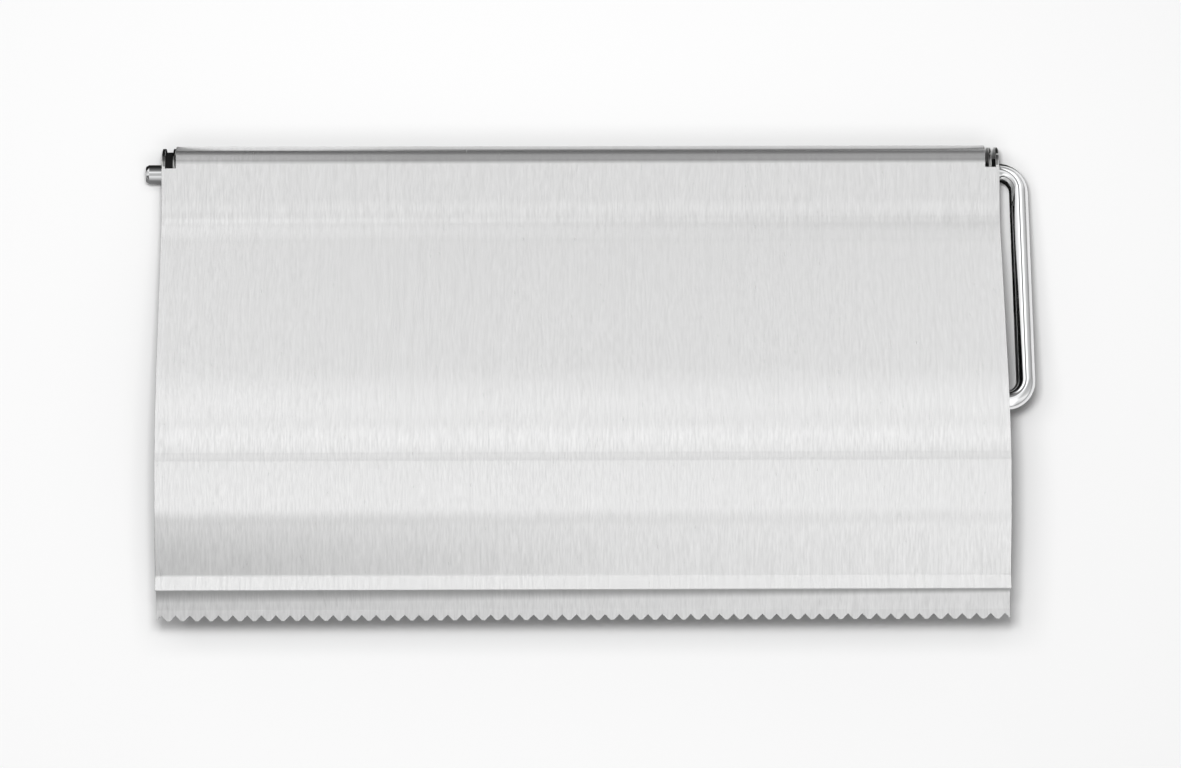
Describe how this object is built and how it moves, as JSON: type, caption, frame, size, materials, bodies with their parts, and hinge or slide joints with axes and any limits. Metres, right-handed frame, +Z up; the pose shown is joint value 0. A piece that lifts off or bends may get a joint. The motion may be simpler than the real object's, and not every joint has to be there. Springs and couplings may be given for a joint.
{
  "type": "wall paper towel holder",
  "caption": "Wall holder for a kitchen paper roll: back plate, open-ended rod arm that swings on its own axle, and a hinged sheet cover with a serrated tear edge.",
  "frame": {"origin": "on the wall, midway between the two screw holes of the back plate", "axes": "+X to the right as seen from the room, +Y into the wall, +Z up"},
  "size_m": [0.2727, 0.0558, 0.1448],
  "materials": {
    "wall_plate_steel": "satin brushed stainless sheet",
    "cover_steel": "fine matt brushed stainless sheet, grain running up and down",
    "strip_steel": "matt stainless strip, grain running up and down",
    "tab_steel": "satin stainless sheet",
    "rod_chrome": "polished chrome plate",
    "black_nylon": "satin black nylon"
  },
  "bodies": {
    "wall_plate": {"back_plate": "wall_plate_steel", "ear_bush_left": "black_nylon", "ear_bush_right": "black_nylon"},
    "arm": {"roll_arm": "rod_chrome", "arm_stop_cam": "black_nylon"},
    "cover": {"cover": "cover_steel", "tear_strip": "strip_steel", "hinge_tab_left": "tab_steel", "hinge_tab_right": "tab_steel", "cover_bush_left": "black_nylon", "cover_bush_right": "black_nylon"}
  },
  "joints": [
    {"name": "arm_swing", "type": "hinge", "parent": "wall_plate", "child": "arm", "pos_m": [0, -0.013, 0.022], "axis": [-1, 0, 0], "range_deg": [0, 40]},
    {"name": "cover_lift", "type": "hinge", "parent": "arm", "child": "cover", "pos_m": [0, -0.013, 0.022], "axis": [-1, 0, 0], "range_deg": [0, 100]}
  ]
}
